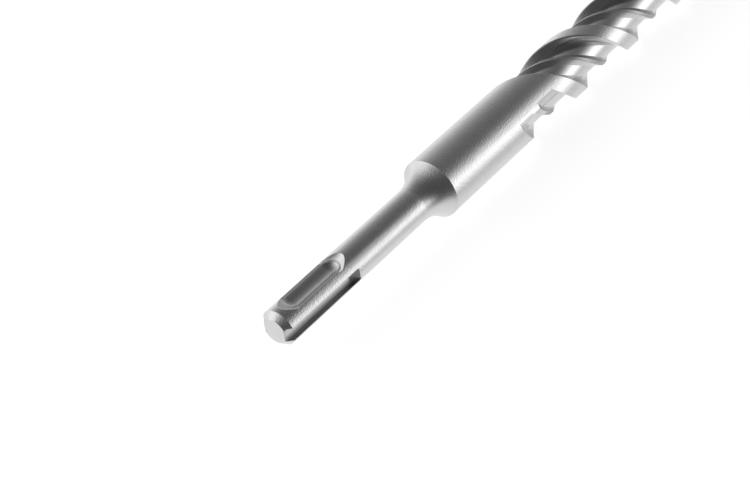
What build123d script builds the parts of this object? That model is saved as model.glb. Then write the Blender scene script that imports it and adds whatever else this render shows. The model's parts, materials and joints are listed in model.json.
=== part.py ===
from build123d import *
from math import acos, ceil, cos, degrees, radians, sin, sqrt, tan
import os

# A two-cutter hammer drill bit with a slotted plug-in shank, lying level on its plain collar and
# its lands. It runs along +X from the shank's end face to the point, with +Z up and the floor at z = 0.

# Overall sizes
overall_length = 250.0
shank_diameter = 10.0
body_diameter = 17.2
cutting_diameter = 18.4

# Turned shank and shoulder
end_chamfer = 1.6
shoulder_rim = 62.8
shoulder_arc_radius = 11.0
rim_break = 0.25

# Two open drive slots, level with the axis on both sides
drive_slot_width = 3.75
drive_slot_floor = 3.1
drive_slot_level_length = 24.4
drive_slot_end_radius = 3.3
drive_slot_corner_radius = 0.7

# Two closed locking grooves, above and below the axis: a ramped flat with a ball track in it
lock_flat_width = 6.4
lock_flat_height = 3.8
lock_flat_start = 3.0
lock_flat_length = 23.7
lock_ramp_length = 3.7
ball_radius = 3.5
ball_track_floor = 2.85
ball_track_start = 5.3
ball_track_length = 18.7

# Helical flutes: two starts, each with a deep groove, a low rib and a second groove.
# Widths are in degrees of turn about the axis, and 180 degrees hold one start.
flute_lead = 53.7
land_edge_at_top = 74.6
land_turn = 41.0
land_back_flank_turn = 18.5
deep_floor_turn = 36.5
rib_front_flank_turn = 13.0
rib_crest_turn = 9.5
rib_back_flank_turn = 12.5
land_front_flank_turn = 2.0
deep_floor_radius = 5.45
second_floor_radius = 5.75
rib_radius = 6.85
land_edge_break = 0.3

# Where the two grooves run out into the plain collar, in degrees from the top towards +Y
deep_groove_starts_at = -63.0
second_groove_starts_at = -54.0
full_depth_at = -107.0
lead_in_turn = 7.0
run_out_steps = 4
sections_per_half_turn = 6

# Head and hard metal tip
point_angle = 130.0
tip_thickness = 4.0
tip_height = 12.0
tip_proud = 1.0
lip_relief_angle = 22.0
braze_gap = 0.08

# Cutters for open slots and grooves reach this many times the radius of the work
cutter_reach = 1.4

# Sizes that follow from those above
shank_radius = shank_diameter / 2
body_radius = body_diameter / 2
cutting_radius = cutting_diameter / 2
half_lead = flute_lead / 2
point_slope = tan(radians(90 - point_angle / 2))
shank_end = -overall_length / 2
drill_axis = Axis((shank_end, 0, body_radius), (1, 0, 0))


def meridian(turn):
    """Plane through the axis: x along the drill, y outwards, turned from the top towards +Y."""
    angle = radians(turn)
    return Plane(origin=(shank_end, 0, body_radius), x_dir=(1, 0, 0), z_dir=(0, -cos(angle), sin(angle)))


# Turned blank: shank with its chamfer, flared shoulder, collar and the pointed head. The bar is the
# same after half a turn, so one half is made, with one drive slot and one locking groove in it.
half_plane_turn = 45
shoulder_depth = body_radius - rim_break - shank_radius
shoulder_sweep = acos(1 - shoulder_depth / shoulder_arc_radius)
shoulder_start = shoulder_rim - rim_break - shoulder_arc_radius * sin(shoulder_sweep)
steel_point = overall_length - tip_proud
steel_corner = steel_point - body_radius * point_slope

with BuildPart() as half_bar:
    with BuildSketch(meridian(half_plane_turn)):
        with BuildLine():
            Polyline(
                (shoulder_start, shank_radius),
                (end_chamfer, shank_radius),
                (0, shank_radius - end_chamfer),
                (0, 0),
                (steel_point, 0),
                (steel_corner, body_radius),
                (shoulder_rim, body_radius),
                (shoulder_rim - rim_break, body_radius - rim_break),
            )
            CenterArc(
                (shoulder_start, shank_radius + shoulder_arc_radius),
                shoulder_arc_radius,
                270,
                degrees(shoulder_sweep),
            )
        make_face()
    revolve(axis=drill_axis, revolution_arc=180)

# Drive slot on the -Y side: a level floor, then an arc that climbs out of the shank
slot_top = cutter_reach * shank_radius
slot_end = drive_slot_level_length + drive_slot_end_radius
slot_arc_centre = drive_slot_floor + drive_slot_end_radius

with BuildPart() as drive_slot:
    with BuildSketch(meridian(-90)):
        with BuildLine():
            Polyline(
                (slot_end, slot_arc_centre),
                (slot_end, slot_top),
                (-end_chamfer, slot_top),
                (-end_chamfer, drive_slot_floor),
                (drive_slot_level_length, drive_slot_floor),
            )
            CenterArc((drive_slot_level_length, slot_arc_centre), drive_slot_end_radius, 270, 90)
        make_face()
    extrude(amount=drive_slot_width / 2, both=True)
    end_wall = drive_slot.faces().sort_by(Axis.X)[-1]
    end_corners = drive_slot.edges().filter_by(GeomType.CIRCLE) + end_wall.edges().filter_by(Axis.Y)
    fillet(end_corners, drive_slot_corner_radius)

# Locking groove at the top: a flat that ramps out at both ends, with a ball track sunk into it
lock_flat_end = lock_flat_start + lock_flat_length
ball_height = ball_track_floor + ball_radius
track_reach = sqrt(ball_radius**2 - (ball_height - lock_flat_height) ** 2)
first_ball = ball_track_start + track_reach
last_ball = ball_track_start + ball_track_length - track_reach
ball_line = Axis((shank_end, 0, body_radius + ball_height), (1, 0, 0))

with BuildPart() as locking_groove:
    with BuildSketch(meridian(0)):
        with BuildLine():
            Polyline(
                (lock_flat_start, shank_radius),
                (lock_flat_start + lock_ramp_length, lock_flat_height),
                (lock_flat_end - lock_ramp_length, lock_flat_height),
                (lock_flat_end, shank_radius),
                (lock_flat_end, slot_top),
                (lock_flat_start, slot_top),
                close=True,
            )
        make_face()
    extrude(amount=lock_flat_width / 2, both=True)
    with BuildSketch(meridian(0)):
        with BuildLine():
            CenterArc((first_ball, ball_height), ball_radius, 180, 90)
            Line((first_ball, ball_track_floor), (last_ball, ball_track_floor))
            CenterArc((last_ball, ball_height), ball_radius, 270, 90)
            Line((last_ball + ball_radius, ball_height), (first_ball - ball_radius, ball_height))
        make_face()
    revolve(axis=ball_line)

# Helical grooves. Each is lofted through outlines in planes that hold the axis. Its first stretch
# climbs out of the collar, as a round cutter leaves the work; every half turn after it is the same.
mm_per_degree = flute_lead / 360
section_step = 180 / sections_per_half_turn
land_end = land_turn * mm_per_degree
deep_floor_start = land_end + land_back_flank_turn * mm_per_degree
deep_floor_end = deep_floor_start + deep_floor_turn * mm_per_degree
crest_start = deep_floor_end + rib_front_flank_turn * mm_per_degree
crest_end = crest_start + rib_crest_turn * mm_per_degree
second_floor_start = crest_end + rib_back_flank_turn * mm_per_degree
second_floor_end = half_lead - land_front_flank_turn * mm_per_degree
groove_top = cutter_reach * body_radius


def flank_at(foot, foot_radius, brink, brink_radius, radius):
    """Place along the axis where a flank, drawn from its foot through its brink, has a radius."""
    return foot + (brink - foot) * (radius - foot_radius) / (brink_radius - foot_radius)


break_foot = body_radius - land_edge_break
open_rise = groove_top - break_foot
deep_flank_break = flank_at(deep_floor_start, deep_floor_radius, land_end, body_radius, break_foot)
second_flank_break = flank_at(second_floor_end, second_floor_radius, half_lead, body_radius, break_foot)
over_rib_flank = (deep_floor_end + crest_start) / 2

# Corners of each groove's outline: place along the axis and radius from the axis
deep_groove_outline = [
    (deep_flank_break - open_rise, groove_top),
    (deep_flank_break, break_foot),
    (deep_floor_start, deep_floor_radius),
    (deep_floor_end, deep_floor_radius),
    (flank_at(deep_floor_end, deep_floor_radius, crest_start, rib_radius, groove_top), groove_top),
]
second_groove_outline = [
    (over_rib_flank, groove_top),
    (over_rib_flank, rib_radius),
    (crest_end, rib_radius),
    (second_floor_start, second_floor_radius),
    (second_floor_end, second_floor_radius),
    (second_flank_break, break_foot),
    (second_flank_break + open_rise, groove_top),
]


def groove(outline, sections):
    """Solid of one groove, lofted through its outline at each turn, lifted off its full depth."""
    with BuildPart() as cutter:
        for turn, lift in sections:
            shift = land_edge_at_top - turn * mm_per_degree
            corners = [(shift + place, lift + radius) for place, radius in outline]
            with BuildSketch(meridian(turn)):
                with BuildLine():
                    Polyline(corners, close=True)
                make_face()
        loft()
    return cutter.part


def run_out(first_turn, floor_radius):
    """Turn and lift of a groove's sections, from outside the collar to just past the half plane."""
    climb = first_turn - full_depth_at
    step = climb / run_out_steps
    turns = [first_turn + lead_in_turn] + [first_turn - step * index for index in range(run_out_steps + 1)]
    climbing = [(turn, (body_radius - floor_radius) * ((turn - full_depth_at) / climb) ** 2) for turn in turns]
    return climbing + [(half_plane_turn - 180, 0), (half_plane_turn - 180 - section_step, 0)]


half_turn = [(half_plane_turn - section_step * index, 0) for index in range(-1, sections_per_half_turn + 2)]
half_turn_count = ceil((overall_length - land_edge_at_top) / half_lead)
deep_start = groove(deep_groove_outline, run_out(deep_groove_starts_at, deep_floor_radius))
deep_half_turn = groove(deep_groove_outline, half_turn)
second_start = groove(second_groove_outline, run_out(second_groove_starts_at, second_floor_radius))
second_half_turn = groove(second_groove_outline, half_turn)

# Hard metal tip: a plate across the head, as wide as the hole that it cuts. Each lip lies on the face
# that leads as the drill turns clockwise, and is ground back behind it, which leaves a short chisel edge.
tip_seat = overall_length - tip_height
cutting_corner = overall_length - cutting_radius * point_slope
tip_turn = (land_edge_at_top + land_end / 2 - cutting_corner) / mm_per_degree
tip_plane = meridian(tip_turn)
lip_relief = tan(radians(lip_relief_angle))
lip_rake = tip_plane.y_dir * point_slope - tip_plane.z_dir * lip_relief
point = (shank_end + overall_length, 0, body_radius)

with BuildPart() as carbide_tip:
    with BuildSketch(tip_plane):
        with Locations((overall_length - tip_height / 2, 0)):
            Rectangle(tip_height, cutting_diameter)
    extrude(amount=tip_thickness / 2, both=True)
    split(bisect_by=Plane(point, z_dir=tip_plane.x_dir + lip_rake), keep=Keep.BOTTOM)
    split(bisect_by=Plane(point, z_dir=tip_plane.x_dir - lip_rake), keep=Keep.BOTTOM)
    with BuildSketch(Plane(point, z_dir=(1, 0, 0))):
        Circle(cutting_radius)
    extrude(amount=-tip_height, mode=Mode.INTERSECT)

# Slot for the tip, with room for the braze metal on both faces; the tip seats on its floor
with BuildPart() as tip_slot:
    with BuildSketch(tip_plane):
        with Locations((overall_length, 0)):
            Rectangle(2 * tip_height, 2 * cutting_diameter)
    extrude(amount=tip_thickness / 2 + braze_gap, both=True)

# The finished bar: one half with its cuts, and the same half turned round, sewn together edge to edge
with half_bar:
    add(drive_slot.part, mode=Mode.SUBTRACT)
    add(locking_groove.part, mode=Mode.SUBTRACT)
    add(deep_start, mode=Mode.SUBTRACT)
    add(second_start, mode=Mode.SUBTRACT)
    with Locations([(half_lead * index, 0, 0) for index in range(1, half_turn_count + 1)]):
        add(deep_half_turn, mode=Mode.SUBTRACT)
        add(second_half_turn, mode=Mode.SUBTRACT)
    add(tip_slot.part, mode=Mode.SUBTRACT)


def outer_skin(half):
    """Faces of a half bar without the flat face that divides it from the other half."""
    dividing_face = half.faces().filter_by(GeomType.PLANE).sort_by(SortBy.AREA)[-1]
    return [face for face in half.faces() if not face.is_same(dividing_face)]


skin = outer_skin(half_bar.part) + outer_skin(half_bar.part.rotate(drill_axis, 180))
with BuildPart() as drill_body:
    add(Solid(Shell(Face.sew_faces(skin)[0])))

os.makedirs("parts", exist_ok=True)
drill_body.part.label = "drill_body"
export_step(drill_body.part, "parts/drill_body.step")
carbide_tip.part.label = "carbide_tip"
export_step(carbide_tip.part, "parts/carbide_tip.step")
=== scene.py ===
"""A hammer drill bit on a white studio table: its finishes, the light and the camera.

The drill lies along +X with its shank's end face at low X and its point at high X. Its axis is level,
one body radius above the table. The two CAD pieces are dressed as they are, and no piece is added to
them. All lengths here are metres.
"""

import json
import logging
from dataclasses import dataclass
from enum import Enum
from functools import cached_property
from math import cos, log, pi, radians, sin

import bmesh
import bpy
from mathutils import Matrix, Vector

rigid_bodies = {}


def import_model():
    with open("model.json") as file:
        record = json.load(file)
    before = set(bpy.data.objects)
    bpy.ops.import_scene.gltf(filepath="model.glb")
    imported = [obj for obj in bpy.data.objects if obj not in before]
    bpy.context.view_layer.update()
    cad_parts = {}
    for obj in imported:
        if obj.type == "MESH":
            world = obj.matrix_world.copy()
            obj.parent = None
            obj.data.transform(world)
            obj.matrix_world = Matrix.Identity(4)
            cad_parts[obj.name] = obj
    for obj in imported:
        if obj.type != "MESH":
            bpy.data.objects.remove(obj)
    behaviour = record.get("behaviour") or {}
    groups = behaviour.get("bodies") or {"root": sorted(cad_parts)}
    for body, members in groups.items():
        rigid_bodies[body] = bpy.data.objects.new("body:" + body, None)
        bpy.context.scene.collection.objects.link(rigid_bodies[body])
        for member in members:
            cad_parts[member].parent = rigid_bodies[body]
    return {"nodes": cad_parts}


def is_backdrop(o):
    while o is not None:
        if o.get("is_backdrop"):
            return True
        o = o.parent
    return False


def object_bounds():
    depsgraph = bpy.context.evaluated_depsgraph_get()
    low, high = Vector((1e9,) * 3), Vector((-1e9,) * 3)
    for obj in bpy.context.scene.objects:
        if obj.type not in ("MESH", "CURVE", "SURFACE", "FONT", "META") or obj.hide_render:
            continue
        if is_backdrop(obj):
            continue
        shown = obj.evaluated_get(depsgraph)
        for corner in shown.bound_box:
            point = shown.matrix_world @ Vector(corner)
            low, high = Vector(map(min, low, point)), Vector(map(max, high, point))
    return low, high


LOG = logging.getLogger("drill_bit")
MM = 0.001
FULL_TURN = 360.0
WHITE = (1.0, 1.0, 1.0, 1.0)

Socket = bpy.types.NodeSocket
Value = Socket | float


class Op(Enum):
    """What a maths node works out."""

    ADD = "ADD"
    SUBTRACT = "SUBTRACT"
    MULTIPLY = "MULTIPLY"
    MULTIPLY_ADD = "MULTIPLY_ADD"
    DIVIDE = "DIVIDE"
    POWER = "POWER"
    SQRT = "SQRT"
    EXPONENT = "EXPONENT"
    ABSOLUTE = "ABSOLUTE"
    MAXIMUM = "MAXIMUM"
    LESS_THAN = "LESS_THAN"
    GREATER_THAN = "GREATER_THAN"
    SINE = "SINE"
    COSINE = "COSINE"
    ARCTAN2 = "ARCTAN2"
    FRACT = "FRACT"


class NodeGraph:
    """A material's or world's node tree, with short ways to add and join nodes."""

    def __init__(self, tree: bpy.types.NodeTree) -> None:
        """Clears the tree and keeps it."""
        self.tree = tree
        tree.nodes.clear()

    def feed(self, target: Socket, value: Value | tuple[float, ...]) -> None:
        """Links a socket to the target, or sets the target to a plain value."""
        if isinstance(value, Socket):
            self.tree.links.new(value, target)
        else:
            target.default_value = value

    def add(self, kind: str, **settings: object) -> bpy.types.Node:
        """Adds a node.

        Args:
            kind: The node's type name.
            settings: Node properties, or sockets and values for its inputs where the name starts with
                ``in_``. Spaces in an input's name are written as underscores.

        Returns:
            The new node.
        """
        node = self.tree.nodes.new(kind)
        for name, value in settings.items():
            if name.startswith("in_"):
                self.feed(node.inputs[name.removeprefix("in_").replace("_", " ")], value)
            else:
                setattr(node, name, value)
        return node

    def math(self, operation: Op, *values: Value) -> Socket:
        """Adds a maths node.

        Args:
            operation: What it works out.
            values: One to three sockets or numbers.

        Returns:
            The result's socket.
        """
        node = self.add("ShaderNodeMath", operation=operation.value)
        for target, value in zip(node.inputs, values):
            self.feed(target, value)
        return node.outputs[0]

    def product(self, first: Value, *others: Value) -> Value:
        """Multiplies all its values with each other."""
        result = first
        for other in others:
            result = self.math(Op.MULTIPLY, result, other)
        return result

    def rest(self, share: Socket) -> Socket:
        """What a share leaves of 1."""
        return self.math(Op.SUBTRACT, 1.0, share)

    def past(self, value: Value, limit: Value) -> Socket:
        """How far a value lies past a limit, and 0 where it lies before it."""
        return self.math(Op.MAXIMUM, self.math(Op.SUBTRACT, value, limit), 0.0)

    def distance(self, across: Socket, up: Socket) -> Socket:
        """Straight distance to a place that lies so far across and up."""
        squares = [self.math(Op.POWER, leg, 2.0) for leg in (across, up)]
        return self.math(Op.SQRT, self.math(Op.ADD, *squares))

    def between(self, value: Socket, low: float, high: float) -> Socket:
        """Rises smoothly from 0 where the value is at low to 1 where it is at high."""
        ramp = self.add(
            "ShaderNodeMapRange",
            interpolation_type="SMOOTHSTEP",
            in_Value=value,
            in_From_Min=low,
            in_From_Max=high,
        )
        return ramp.outputs["Result"]

    def blend(self, share: Socket, first: Value, second: Value) -> Socket:
        """Mixes two values, from the first at share 0 to the second at share 1."""
        mix = self.add("ShaderNodeMix", data_type="FLOAT", in_Factor=share, in_A=first, in_B=second)
        return mix.outputs["Result"]

    def swing(self, pattern: Socket, size: float, middle: Value) -> Socket:
        """Lets a value swing about its middle with a pattern that runs from 0 to 1."""
        return self.math(Op.MULTIPLY_ADD, self.math(Op.SUBTRACT, pattern, 0.5), size, middle)

    def bump(self, height: Socket, normal: Socket, distance: float, strength: Value = 1.0) -> Socket:
        """Tilts the shaded face as a small height on it would.

        Args:
            height: Socket of the height, in units of the distance.
            normal: Socket of the normal that is tilted.
            distance: How high a height of 1 stands.
            strength: Share of the height that shows.

        Returns:
            The new normal's socket.
        """
        node = self.add(
            "ShaderNodeBump",
            in_Strength=strength,
            in_Distance=distance,
            in_Height=height,
            in_Normal=normal,
        )
        return node.outputs["Normal"]


class Metal:
    """A metal that is being made, with its node graph, its shader and the place that is shaded."""

    def __init__(self, name: str) -> None:
        """Starts a plain metal under this name."""
        self.material = bpy.data.materials.new(name)
        self.material.use_nodes = True
        self.graph = NodeGraph(self.material.node_tree)
        self.shader = self.graph.add("ShaderNodeBsdfPrincipled", in_Metallic=1.0)
        self.graph.add("ShaderNodeOutputMaterial", in_Surface=self.shader.outputs["BSDF"])
        self.place = self.graph.add("ShaderNodeTexCoord").outputs["Object"]

    def paint(self, red: Socket, green: Socket, blue: Socket) -> None:
        """Gives the metal its colour."""
        colour = self.graph.add("ShaderNodeCombineColor", in_Red=red, in_Green=green, in_Blue=blue)
        self.graph.feed(self.shader.inputs["Base Color"], colour.outputs["Color"])

    def roughen(self, roughness: Socket) -> None:
        """Gives the metal its roughness."""
        self.graph.feed(self.shader.inputs["Roughness"], roughness)

    def tilt(self, normal: Socket) -> None:
        """Gives the metal the normal of its fine forms."""
        self.graph.feed(self.shader.inputs["Normal"], normal)


@dataclass(frozen=True)
class Unevenness:
    """Soft random pattern of spots with finer spots laid over them.

    Layers is how often finer spots are added, and fineness how strong each layer is beside the one before.
    Spots is how many lie on a metre along X, Y and Z, or None where the place is already counted in spots.
    """

    layers: float
    fineness: float
    spots: tuple[float, float, float] | None = None

    def pattern(self, graph: NodeGraph, place: Socket) -> Socket:
        """Adds the pattern, from 0 to 1, at a place.

        Args:
            graph: The material's node graph.
            place: Socket of the place.

        Returns:
            The pattern's socket.
        """
        if self.spots is not None:
            place = graph.add("ShaderNodeMapping", in_Scale=self.spots, in_Vector=place).outputs["Vector"]
        noise = graph.add(
            "ShaderNodeTexNoise",
            in_Vector=place,
            in_Scale=1.0,
            in_Detail=self.layers,
            in_Roughness=self.fineness,
        )
        return noise.outputs["Fac"]


@dataclass(frozen=True)
class DrillPlaces:
    """Places along the drill and across it that the finishes need, measured from the shank's end face.

    The plate's turn is in degrees from the top towards +Y. The flanks that face the point begin and end
    at so many degrees past a land's edge.
    """

    shank_radius: float = 5.0 * MM
    body_radius: float = 8.6 * MM
    shoulder_start: float = 54.6 * MM
    shoulder_rim: float = 62.8 * MM
    end_chamfer: float = 1.6 * MM
    drive_slot_floor: float = 3.1 * MM
    drive_slot_half_width: float = 1.88 * MM
    drive_slot_end: float = 27.7 * MM
    ball_track_floor: float = 2.85 * MM
    lock_flat: float = 3.8 * MM
    lock_start: float = 3.0 * MM
    lock_end: float = 26.7 * MM
    lock_ramp: float = 3.7 * MM
    track_first: float = 7.7 * MM
    track_last: float = 21.6 * MM
    track_half_width: float = 2.4 * MM
    flute_starts: float = 2.0
    flute_lead: float = 53.7 * MM
    land_edge_at_top: float = 74.6 * MM
    land_back_flank: tuple[float, float] = (41.0, 59.5)
    rib_back_flank: tuple[float, float] = (118.5, 131.0)
    rib_radius: float = 6.85 * MM
    head_start: float = 244.9 * MM
    plate_turn: float = 133.4
    plate_thickness: float = 4.0 * MM
    plate_seat: float = 238.0 * MM


@dataclass(frozen=True)
class Margins:
    """How far a point may lie from a face's own place and still count as on it.

    A skin is a pair of depths below a ground round face: down to the first a point is on the ground face,
    and from the second on it is on a milled one. The flanks' margins are in degrees.
    """

    body_skin: tuple[float, float] = (0.04 * MM, 0.15 * MM)
    shank_skin: tuple[float, float] = (0.06 * MM, 0.2 * MM)
    slot_skin: tuple[float, float] = (0.05 * MM, 0.14 * MM)
    lock_skin: float = 0.04 * MM
    past_rim: float = 1.0 * MM
    slot_wall: float = 0.03 * MM
    slot_floor: float = 0.1 * MM
    slot_end: float = 0.5 * MM
    lock_flat: float = 0.25 * MM
    track_floor: float = 0.1 * MM
    rib_crest: float = 0.12 * MM
    flank_start: float = 1.0
    flank_foot: float = 3.0


@dataclass(frozen=True)
class FineForms:
    """Forms of the bar that are too fine for its solid, and that the steel's shading draws.

    A drive slot's floor rolls over to the shank except in its last flat stretch, and painted shade darkens
    its corners. A locking groove's far ramp ends steeply and is hollow across the drill, and its near ramp
    starts gently. The ball track's worn rim fades between two shares of its width. A flank's rougher band
    of painted shade fades from a share of the flank's width down to its foot.
    """

    edge_round: float = 0.14 * MM
    edge_samples: int = 4
    slot_roll: float = 0.1 / MM
    slot_flat_end: float = 2.6 * MM
    # width over which the painted shade in the slot corners fades, and over which the slot's rolled floor
    # ends
    slot_fade_width: float = 0.8 * MM
    rim_width: float = 0.45 * MM
    rim_fade: tuple[float, float] = (0.3, 0.7)
    ramp_steepness: float = 0.5
    ramp_hollow: float = 0.03 / MM**2
    near_ramp_ease: float = 0.15
    flank_fade: float = 0.3


@dataclass(frozen=True)
class BarPoint:
    """Sockets that say where on the drill a shaded point lies: metres, and radians from the top towards +Y.

    Side and rise are distances from the axis, without a sign. Lip is positive on the half of a drive slot's
    floor that rolls over to the shank, above the axis at -Y and below it at +Y, and negative on the other.
    """

    along: Socket
    side: Socket
    rise: Socket
    lip: Socket
    turn: Socket
    radius: Socket

    @classmethod
    def at(cls, graph: NodeGraph, place: Socket, places: DrillPlaces, shank_end: float) -> "BarPoint":
        """Splits a place into its distances along and from the drill's axis.

        Args:
            graph: The steel's node graph.
            place: Socket of the shaded place.
            places: The drill's places.
            shank_end: X of the shank's end face.

        Returns:
            The point.
        """
        split = graph.add("ShaderNodeSeparateXYZ", in_Vector=place)
        across = split.outputs["Y"]
        up = graph.math(Op.SUBTRACT, split.outputs["Z"], places.body_radius)
        return cls(
            along=graph.math(Op.SUBTRACT, split.outputs["X"], shank_end),
            side=graph.math(Op.ABSOLUTE, across),
            rise=graph.math(Op.ABSOLUTE, up),
            lip=graph.math(Op.DIVIDE, graph.product(across, up), -places.drive_slot_floor),
            turn=graph.math(Op.ARCTAN2, across, up),
            radius=graph.distance(across, up),
        )


@dataclass(frozen=True)
class BarParts:
    """The worked parts of the bar, as sockets: 1 where the shaded point lies on one and 0 elsewhere.

    Each is worked out once, when it is first asked for. The heights are in metres.
    """

    graph: NodeGraph
    point: BarPoint
    places: DrillPlaces
    forms: FineForms
    margins: Margins = Margins()

    @cached_property
    def flutes(self) -> Socket:
        """1 between the collar's rim and the pointed head."""
        rim = self.places.shoulder_rim + self.margins.past_rim
        past_rim = self.graph.math(Op.GREATER_THAN, self.point.along, rim)
        before_head = self.graph.math(Op.LESS_THAN, self.point.along, self.places.head_start)
        return self.graph.product(past_rim, before_head)

    @cached_property
    def milled(self) -> Socket:
        """1 on milled grooves and slots, 0 on ground and turned faces."""
        below_body = self._below(self.places.body_radius, self.margins.body_skin)
        below_shank = self._below(self.places.shank_radius, self.margins.shank_skin)
        on_shank = self.graph.math(Op.LESS_THAN, self.point.along, self.places.shoulder_start)
        past_chamfer = self.graph.math(Op.GREATER_THAN, self.point.along, self.places.end_chamfer)
        in_shank = self.graph.product(below_shank, on_shank, past_chamfer)
        return self.graph.math(Op.MAXIMUM, self.graph.product(below_body, self.flutes), in_shank)

    @cached_property
    def drive_slot(self) -> Socket:
        """1 on the walls and floor of the two drive slots."""
        wall = self.places.drive_slot_half_width + self.margins.slot_wall
        floor = self.places.drive_slot_floor - self.margins.slot_floor
        end = self.places.drive_slot_end - self.margins.slot_end
        return self.graph.product(
            self._below(self.places.shank_radius, self.margins.slot_skin),
            self.graph.math(Op.LESS_THAN, self.point.rise, wall),
            self.graph.math(Op.GREATER_THAN, self.point.side, floor),
            self.graph.math(Op.LESS_THAN, self.point.along, end),
        )

    @property
    def slot_flat_start(self) -> float:
        """Where a drive slot's last flat stretch begins."""
        return self.places.drive_slot_end - self.forms.slot_flat_end

    @cached_property
    def slot_rolling(self) -> Socket:
        """1 along a drive slot, 0 in its last stretch, whose floor doesn't roll over."""
        first = self.slot_flat_start - self.forms.slot_fade_width
        return self.graph.rest(self.graph.between(self.point.along, first, self.slot_flat_start))

    @cached_property
    def slot_deep(self) -> Socket:
        """1 in a drive slot's last stretch, 0 well before it."""
        first = self.slot_flat_start - self.forms.slot_flat_end
        return self.graph.between(self.point.along, first, self.slot_flat_start)

    @cached_property
    def slot_lip(self) -> Socket:
        """1 where a drive slot's floor has rolled over to the shank, 0 at its flat corner."""
        rolled = self.graph.between(self.point.lip, -self.places.drive_slot_half_width, 0.0)
        return self.graph.product(rolled, self.slot_rolling)

    @cached_property
    def slot_out_of_corner_shade(self) -> Socket:
        """1 away from a drive slot's corners, 0 in them, where painted shade darkens the steel."""
        across = self.graph.math(Op.SUBTRACT, self.point.side, self.places.drive_slot_floor)
        up = self.graph.math(Op.SUBTRACT, self.point.rise, self.places.drive_slot_half_width)
        return self.graph.between(self.graph.distance(across, up), 0.0, self.forms.slot_fade_width)

    @cached_property
    def slot_height(self) -> Socket:
        """Fall of a drive slot's floor, which rolls from its flat corner over to the shank."""
        past_corner = self.graph.past(self.point.lip, -self.places.drive_slot_half_width)
        squared = self.graph.math(Op.POWER, past_corner, 2.0)
        return self.graph.product(squared, -self.forms.slot_roll, self.slot_rolling)

    @cached_property
    def lock(self) -> Socket:
        """1 all over the two locking grooves, with their ball tracks."""
        return self._in_lock(self.places.ball_track_floor - self.margins.track_floor)

    @cached_property
    def pocket(self) -> Socket:
        """1 on the flats and ramps of the two locking grooves."""
        return self._in_lock(self.places.lock_flat - self.margins.lock_flat)

    @cached_property
    def past_track(self) -> Socket:
        """Distance outside the ball track's rim, as seen from above the locking groove."""
        before = self.graph.past(self.places.track_first, self.point.along)
        after = self.graph.past(self.point.along, self.places.track_last)
        reach = self.graph.distance(self.graph.math(Op.ADD, before, after), self.point.side)
        return self.graph.math(Op.SUBTRACT, reach, self.places.track_half_width)

    @cached_property
    def track_rim(self) -> Socket:
        """1 on the worn rim of the ball track."""
        width = self.forms.rim_width
        away = self.graph.math(Op.ABSOLUTE, self.graph.math(Op.SUBTRACT, self.past_track, width / 2))
        fade = [width * share for share in self.forms.rim_fade]
        return self.graph.product(self.pocket, self.graph.rest(self.graph.between(away, *fade)))

    @cached_property
    def ramp_height(self) -> Socket:
        """Height over the locking groove's plain ramps, as a round cutter leaves them."""
        squared = self.graph.math(Op.POWER, self.point.side, 2.0)
        slope = self.graph.math(
            Op.MULTIPLY_ADD, squared, self.forms.ramp_hollow, self.forms.ramp_steepness
        )
        climb = self.graph.past(self.point.along, self.places.track_last)
        far = self.graph.product(climb, slope)
        near_foot = self.places.lock_start + self.places.lock_ramp
        before = self.graph.past(near_foot, self.point.along)
        height = self.graph.math(Op.MULTIPLY_ADD, before, -self.forms.near_ramp_ease, far)
        outside = self.graph.math(Op.GREATER_THAN, self.past_track, self.forms.rim_width)
        return self.graph.product(height, outside, self.pocket)

    @cached_property
    def back_flanks(self) -> Socket:
        """1 high on the flanks of lands and ribs that face the point, fading down to their feet."""
        past_edge = self.graph.math(Op.SUBTRACT, self.point.along, self.places.land_edge_at_top)
        spacing = self.places.flute_lead / self.places.flute_starts
        starts = self.graph.math(Op.DIVIDE, past_edge, spacing)
        starts_per_radian = self.places.flute_starts / (2.0 * pi)
        turned = self.graph.math(Op.MULTIPLY_ADD, self.point.turn, starts_per_radian, starts)
        in_start = self.graph.math(Op.FRACT, turned)
        flanks = (self.places.land_back_flank, self.places.rib_back_flank)
        both = self.graph.math(Op.ADD, *(self._flank(in_start, *flank) for flank in flanks))
        return self.graph.product(both, self.flutes, self.milled)

    @cached_property
    def rib_crests(self) -> Socket:
        """1 on the narrow crests of the ribs between the two grooves."""
        away = self.graph.math(Op.SUBTRACT, self.point.radius, self.places.rib_radius)
        away = self.graph.math(Op.ABSOLUTE, away)
        on_crest = self.graph.math(Op.LESS_THAN, away, self.margins.rib_crest)
        return self.graph.product(on_crest, self.flutes)

    @cached_property
    def from_plate(self) -> Socket:
        """Distance from the faces and the seat of the cutting plate."""
        turned = self.graph.math(Op.SUBTRACT, self.point.turn, radians(self.places.plate_turn))
        across = self.graph.product(self.point.radius, self.graph.math(Op.SINE, turned))
        half = self.places.plate_thickness / 2
        past_face = self.graph.math(Op.SUBTRACT, self.graph.math(Op.ABSOLUTE, across), half)
        past_seat = self.graph.math(Op.SUBTRACT, self.places.plate_seat, self.point.along)
        return self.graph.math(Op.MAXIMUM, past_face, past_seat)

    def groove_place(self, width: float, length: float) -> Socket:
        """Place of the shaded point as counted in tool marks, which run along the helical grooves.

        Args:
            width: How wide one mark is.
            length: How many widths long it is.

        Returns:
            Socket of the place.
        """
        starts = self.places.flute_starts
        per_metre = 2.0 * pi * starts / self.places.flute_lead
        advance = self.graph.product(self.point.along, per_metre)
        phase = self.graph.math(Op.MULTIPLY_ADD, self.point.turn, starts, advance)
        ring = 1.0 / (per_metre * width)
        place = self.graph.add(
            "ShaderNodeCombineXYZ",
            in_X=self.graph.product(self.graph.math(Op.COSINE, phase), ring),
            in_Y=self.graph.product(self.graph.math(Op.SINE, phase), ring),
            in_Z=self.graph.math(Op.DIVIDE, self.point.along, width * length),
        )
        return place.outputs["Vector"]

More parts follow.
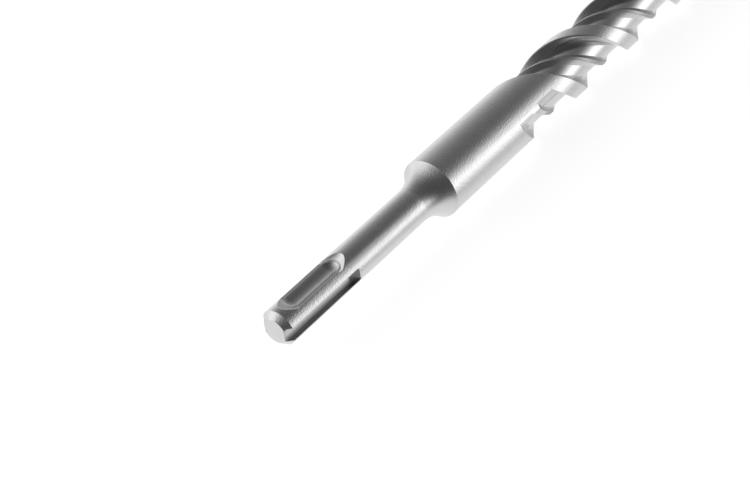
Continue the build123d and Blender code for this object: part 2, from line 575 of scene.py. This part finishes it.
    def _below(self, radius: float, skin: tuple[float, float]) -> Socket:
        """1 below the skin of a ground round face, 0 on it."""
        first, full = skin
        return self.graph.rest(self.graph.between(self.point.radius, radius - full, radius - first))

    def _in_lock(self, lowest: float) -> Socket:
        """1 in the two locking grooves, as far down as the lowest distance from the axis."""
        skin = self.places.shank_radius - self.margins.lock_skin
        return self.graph.product(
            self.graph.math(Op.LESS_THAN, self.point.radius, skin),
            self.graph.math(Op.GREATER_THAN, self.point.rise, lowest),
            self.graph.math(Op.GREATER_THAN, self.point.along, self.places.lock_start),
            self.graph.math(Op.LESS_THAN, self.point.along, self.places.lock_end),
        )

    def _flank(self, in_start: Socket, first: float, last: float) -> Socket:
        """1 high on one flank, fading down to its foot.

        Args:
            in_start: Socket of the share of a start's turn that lies between a land's edge and the point.
            first: Where the flank begins, in degrees past a land's edge.
            last: Where it ends.

        Returns:
            The share's socket.
        """
        start_turn = FULL_TURN / self.places.flute_starts
        edge = self.margins.flank_start
        fade = first + self.forms.flank_fade * (last - first)
        foot = last + self.margins.flank_foot
        begun = self.graph.between(in_start, (first - edge) / start_turn, (first + edge) / start_turn)
        ended = self.graph.between(in_start, fade / start_turn, foot / start_turn)
        return self.graph.math(Op.SUBTRACT, begun, ended)


@dataclass(frozen=True)
class BrazeFinish:
    """Brassy braze metal that shows as a narrow seam on the steel beside the cutting plate.

    Its edge wanders, and fades between two shares of the seam's width.
    """

    colour: tuple[float, float, float] = (0.74, 0.60, 0.40)
    roughness: float = 0.34
    width: float = 0.3 * MM
    fade: tuple[float, float] = (0.7, 1.3)
    wander: float = 0.3 * MM

    def seam(self, parts: BarParts, grain: Socket) -> Socket:
        """1 on the braze seam.

        Args:
            parts: The bar's parts.
            grain: Socket of the steel's grain, which the seam's edge wanders with.

        Returns:
            The share's socket.
        """
        away = parts.graph.swing(grain, self.wander, parts.from_plate)
        fade = [self.width * share for share in self.fade]
        return parts.graph.rest(parts.graph.between(away, *fade))


@dataclass(frozen=True)
class SteelFinish:
    """Hardened steel: finely ground round faces, and smoother milled grooves with tool marks.

    A grey is the metal's tone, except the greys of the drive slots, their ends and corners, the back
    flanks and the rib crests. These are painted shade, darker tones where shade falls. A swing is how far
    the grain, or the broad stains that handling and oil leave, move a value. The grain is drawn out round
    the axis, and the speckle breaks up the edges of reflections. A tool mark's length is counted in its
    widths.
    """

    ground_grey: float = 0.76
    milled_grey: float = 0.70
    # painted shade: the slot, slot end and slot corner greys darken the drive slots where shade falls
    slot_painted_shade_grey: float = 0.42
    slot_end_painted_shade_grey: float = 0.3
    slot_corner_painted_shade: float = 0.35
    # painted shade: the flank and rib crest greys darken the flanks that face the point and the rib crests
    flank_painted_shade_grey: float = 0.34
    rib_crest_painted_shade_grey: float = 0.5
    ground_roughness: float = 0.25
    milled_roughness: float = 0.16
    slot_roughness: float = 0.5
    lock_roughness: float = 0.24
    rim_roughness: float = 0.5
    flank_roughness: float = 0.3
    rib_roughness: float = 0.42
    grain: Unevenness = Unevenness(layers=3.0, fineness=0.6, spots=(2600.0, 900.0, 900.0))
    grain_grey_swing: float = 0.05
    grain_roughness_swing: float = 0.12
    stains: Unevenness = Unevenness(layers=2.0, fineness=0.5, spots=(250.0,) * 3)
    stain_grey_swing: float = 0.09
    speckle: Unevenness = Unevenness(layers=2.0, fineness=0.5, spots=(1.0 / (0.45 * MM),) * 3)
    speckle_height: float = 0.05 * MM
    milled_speckle: float = 0.08
    marks: Unevenness = Unevenness(layers=2.0, fineness=0.6)
    mark_width: float = 0.7 * MM
    mark_length: float = 40.0
    mark_height: float = 0.012 * MM
    forms: FineForms = FineForms()
    braze: BrazeFinish = BrazeFinish()

    def build(self, places: DrillPlaces, shank_end: float) -> bpy.types.Material:
        """Makes the steel.

        Args:
            places: The drill's places.
            shank_end: X of the shank's end face.

        Returns:
            The material.
        """
        steel = Metal("drill_steel")
        point = BarPoint.at(steel.graph, steel.place, places, shank_end)
        parts = BarParts(steel.graph, point, places, self.forms)
        grain = self.grain.pattern(steel.graph, steel.place)
        seam = self.braze.seam(parts, grain)
        tone = self._tone(parts, grain, steel.place)
        steel.paint(*(steel.graph.blend(seam, tone, braze) for braze in self.braze.colour))
        steel.roughen(self._roughness(parts, grain, seam))
        steel.tilt(self._normal(parts, steel.place))
        return steel.material

    def _tone(self, parts: BarParts, grain: Socket, place: Socket) -> Socket:
        """Grey of the steel, with painted shade in the drive slots, on the back flanks and on the rib
        crests.
        """
        graph = parts.graph
        # painted shade: the drive slots are painted darker than the steel and darker still in their last
        # stretch, back to the ground grey where the floor rolls over to the shank
        slot = graph.blend(parts.slot_deep, self.slot_painted_shade_grey, self.slot_end_painted_shade_grey)
        slot = graph.blend(parts.slot_lip, slot, self.ground_grey)
        # painted shade: the drive slot's corners are darkened further
        slot = graph.product(slot, graph.blend(parts.slot_out_of_corner_shade, self.slot_corner_painted_shade, 1.0))
        tone = graph.blend(parts.milled, self.ground_grey, self.milled_grey)
        tone = graph.blend(parts.drive_slot, tone, slot)
        # painted shade: the flanks that face the point are painted darker
        tone = graph.blend(parts.back_flanks, tone, self.flank_painted_shade_grey)
        # painted shade: the rib crests are painted darker
        tone = graph.blend(parts.rib_crests, tone, self.rib_crest_painted_shade_grey)
        tone = graph.swing(grain, self.grain_grey_swing, tone)
        return graph.swing(self.stains.pattern(graph, place), self.stain_grey_swing, tone)

    def _roughness(self, parts: BarParts, grain: Socket, seam: Socket) -> Socket:
        """Roughness of the steel, and of the braze seam on it."""
        graph = parts.graph
        rough = graph.blend(parts.milled, self.ground_roughness, self.milled_roughness)
        for share, roughness in (
            (parts.drive_slot, self.slot_roughness),
            (parts.lock, self.lock_roughness),
            (parts.track_rim, self.rim_roughness),
            (parts.back_flanks, self.flank_roughness),
            (parts.rib_crests, self.rib_roughness),
            (seam, self.braze.roughness),
        ):
            rough = graph.blend(share, rough, roughness)
        return graph.swing(grain, self.grain_roughness_swing, rough)

    def _normal(self, parts: BarParts, place: Socket) -> Socket:
        """Normal with rounded edges, and over them the fine forms, the tool marks and the speckle."""
        graph = parts.graph
        edges = graph.add(
            "ShaderNodeBevel", samples=self.forms.edge_samples, in_Radius=self.forms.edge_round
        )
        height = graph.math(Op.MULTIPLY_ADD, parts.slot_height, parts.drive_slot, parts.ramp_height)
        normal = graph.bump(height, edges.outputs["Normal"], distance=1.0)
        marks = self.marks.pattern(graph, parts.groove_place(self.mark_width, self.mark_length))
        normal = graph.bump(marks, normal, self.mark_height, parts.milled)
        speckle_share = graph.blend(parts.milled, 1.0, self.milled_speckle)
        return graph.bump(self.speckle.pattern(graph, place), normal, self.speckle_height, speckle_share)


@dataclass(frozen=True)
class CarbideFinish:
    """Ground hard metal: darker than steel, with a fine straight grain."""

    grey: float = 0.36
    grey_swing: float = 0.1
    roughness: float = 0.3
    roughness_swing: float = 0.2
    grain: Unevenness = Unevenness(layers=4.0, fineness=0.65, spots=(700.0, 3500.0, 3500.0))

    def build(self) -> bpy.types.Material:
        """Makes the hard metal.

        Returns:
            The material.
        """
        carbide = Metal("hard_metal")
        grain = self.grain.pattern(carbide.graph, carbide.place)
        tone = carbide.graph.swing(grain, self.grey_swing, self.grey)
        carbide.paint(tone, tone, tone)
        carbide.roughen(carbide.graph.swing(grain, self.roughness_swing, self.roughness))
        return carbide.material


def cover(node: bpy.types.Object, material: bpy.types.Material) -> None:
    """Covers all of a CAD node with one material."""
    for slot in node.material_slots:
        slot.material = material


@dataclass(frozen=True)
class DrillBody:
    """The steel bar of the drill, and the X of its shank's end face."""

    node: bpy.types.Object
    shank_end: float
    places: DrillPlaces = DrillPlaces()
    finish: SteelFinish = SteelFinish()

    def dress(self) -> None:
        """Gives the bar its finish."""
        cover(self.node, self.finish.build(self.places, self.shank_end))
        LOG.info("drill body: ground and milled steel")


@dataclass(frozen=True)
class CuttingPlate:
    """The hard metal plate across the head."""

    node: bpy.types.Object
    finish: CarbideFinish = CarbideFinish()

    def dress(self) -> None:
        """Gives the plate its finish."""
        cover(self.node, self.finish.build())
        LOG.info("cutting plate: ground hard metal")


@dataclass(frozen=True)
class SoftLight:
    """A soft light far from the drill, told by where it stands and how wide it is.

    Heading is turned from the drill's +X towards +Y and rise is above the level, both in degrees. At the
    half width, in degrees from its middle, it is half as bright as there.
    """

    heading: float
    rise: float
    half_width: float
    strength: float

    def direction(self) -> Vector:
        """Direction from the drill to the light's middle."""
        heading, rise = radians(self.heading), radians(self.rise)
        return Vector((cos(heading) * cos(rise), sin(heading) * cos(rise), sin(rise)))

    def add_to(self, graph: NodeGraph, seen: Socket, total: Value) -> Socket:
        """Adds this light's brightness to the total.

        Args:
            graph: The world's node graph.
            seen: Socket of the direction that is looked in.
            total: Socket or number with the brightness so far.

        Returns:
            Socket of the brightness with this light.
        """
        facing = graph.add("ShaderNodeVectorMath", operation="DOT_PRODUCT")
        graph.feed(facing.inputs[0], seen)
        graph.feed(facing.inputs[1], self.direction())
        sharpness = log(2.0) / (1.0 - cos(radians(self.half_width)))
        power = graph.math(Op.MULTIPLY_ADD, facing.outputs["Value"], sharpness, -sharpness)
        return graph.math(Op.MULTIPLY_ADD, graph.math(Op.EXPONENT, power), self.strength, total)


@dataclass(frozen=True)
class Studio:
    """Dim room with soft boxes round the drill."""

    room: float = 0.075
    key_box: SoftLight = SoftLight(heading=-42.0, rise=3.5, half_width=16.5, strength=1.65)
    side_strip: SoftLight = SoftLight(heading=-72.0, rise=3.0, half_width=13.0, strength=0.4)
    ahead: SoftLight = SoftLight(heading=20.0, rise=-15.0, half_width=33.0, strength=0.85)
    low_front: SoftLight = SoftLight(heading=-55.0, rise=-45.0, half_width=25.0, strength=0.42)
    low_behind: SoftLight = SoftLight(heading=-115.0, rise=-45.0, half_width=20.0, strength=0.5)
    back_window: SoftLight = SoftLight(heading=134.0, rise=25.0, half_width=26.0, strength=1.0)
    far_wall: SoftLight = SoftLight(heading=88.0, rise=-5.0, half_width=30.0, strength=0.86)

    def build(self) -> None:
        """Makes the world: white to the camera, and the studio to everything else."""
        world = bpy.data.worlds.new("studio")
        bpy.context.scene.world = world
        world.use_nodes = True
        graph = NodeGraph(world.node_tree)
        seen = graph.add("ShaderNodeTexCoord").outputs["Generated"]
        boxes = (self.key_box, self.side_strip, self.back_window, self.far_wall)
        lights = boxes + (self.ahead, self.low_front, self.low_behind)
        total = self.room
        for light in lights:
            total = light.add_to(graph, seen, total)
        camera_ray = graph.add("ShaderNodeLightPath").outputs["Is Camera Ray"]
        strength = graph.blend(camera_ray, total, 1.0)
        background = graph.add("ShaderNodeBackground", in_Color=WHITE, in_Strength=strength)
        graph.add("ShaderNodeOutputWorld", in_Surface=background.outputs[0])
        LOG.info("studio: %d soft lights", len(lights))


@dataclass(frozen=True)
class Table:
    """Plain white table under the drill.

    It is white to the camera and in the drill's reflections. On the camera's side it ends there a short way
    from the drill, and the dim room with its low lights shows instead.
    """

    half_width: float = 3.0
    albedo: float = 0.8
    glow: float = 0.8
    mirrored_glow: float = 0.66
    whole_from: float = -8.0 * MM
    ends_at: float = -30.0 * MM

    def build(self) -> None:
        """Makes the table top."""
        shape = bmesh.new()
        bmesh.ops.create_grid(shape, x_segments=1, y_segments=1, size=self.half_width)
        mesh = bpy.data.meshes.new("table")
        shape.to_mesh(mesh)
        shape.free()
        table = bpy.data.objects.new("table", mesh)
        bpy.context.scene.collection.objects.link(table)
        mesh.materials.append(self._finish())
        table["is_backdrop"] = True
        LOG.info("table: plain white top")

    def _finish(self) -> bpy.types.Material:
        """White matt top that reads as white to the camera and in reflections, and still takes a shadow."""
        material = bpy.data.materials.new("table_white")
        material.use_nodes = True
        graph = NodeGraph(material.node_tree)
        light = graph.add("ShaderNodeLightPath").outputs
        mirrored = graph.math(Op.MAXIMUM, light["Is Glossy Ray"], light["Is Transmission Ray"])
        seen = graph.product(light["Is Camera Ray"], self.glow)
        strength = graph.math(Op.MULTIPLY_ADD, mirrored, self.mirrored_glow, seen)
        glow = graph.add("ShaderNodeEmission", in_Color=WHITE, in_Strength=strength)
        matt = graph.add("ShaderNodeBsdfDiffuse", in_Color=(self.albedo,) * 3 + (1.0,))
        both = graph.add("ShaderNodeAddShader")
        graph.feed(both.inputs[0], matt.outputs[0])
        graph.feed(both.inputs[1], glow.outputs[0])
        place = graph.add("ShaderNodeTexCoord").outputs["Object"]
        across = graph.add("ShaderNodeSeparateXYZ", in_Vector=place).outputs["Y"]
        past_end = graph.rest(graph.between(across, self.ends_at, self.whole_from))
        top = graph.add("ShaderNodeMixShader")
        graph.feed(top.inputs[0], graph.product(mirrored, past_end))
        graph.feed(top.inputs[1], both.outputs[0])
        graph.feed(top.inputs[2], graph.add("ShaderNodeBsdfTransparent").outputs[0])
        graph.add("ShaderNodeOutputMaterial", in_Surface=top.outputs[0])
        return material


@dataclass(frozen=True)
class PhotoCamera:
    """The camera at the photograph's viewing angle, as fitted to the drill's visible edges.

    Heading is turned from +X towards +Y, downward is below the level and roll is about the view, all in
    degrees. The focal length and the sensor are in millimetres.
    """

    place: tuple[float, float, float] = (-0.34056, -0.23737, 0.29149)
    heading: float = 43.033
    downward: float = 39.402
    roll: float = 8.347
    focal_length: float = 86.1
    sensor_width: float = 36.0
    nearest: float = 0.01
    furthest: float = 20.0

    def build(self) -> None:
        """Makes the camera and makes it the scene's camera."""
        data = bpy.data.cameras.new("photo_camera")
        data.lens = self.focal_length
        data.sensor_width = self.sensor_width
        data.sensor_fit = "HORIZONTAL"
        data.clip_start = self.nearest
        data.clip_end = self.furthest
        camera = bpy.data.objects.new("photo_camera", data)
        bpy.context.scene.collection.objects.link(camera)
        turn = Matrix.Rotation(radians(self.heading - 90.0), 4, "Z")
        tip = Matrix.Rotation(radians(90.0 - self.downward), 4, "X")
        lean = Matrix.Rotation(radians(-self.roll), 4, "Z")
        camera.matrix_world = Matrix.Translation(Vector(self.place)) @ turn @ tip @ lean
        bpy.context.scene.camera = camera
        LOG.info("camera: %.1f mm lens", self.focal_length)


def main() -> None:
    """Loads the frame, dresses the drill and sets up the studio."""
    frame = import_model()
    cad_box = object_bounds()
    DrillBody(frame["nodes"]["drill_body"], shank_end=cad_box[0].x).dress()
    CuttingPlate(frame["nodes"]["carbide_tip"]).dress()
    Studio().build()
    Table().build()
    PhotoCamera().build()
    bpy.context.scene.view_settings.view_transform = "Standard"


if __name__ == "__main__":
    logging.basicConfig(level=logging.INFO, format="%(name)s: %(message)s")
    main()
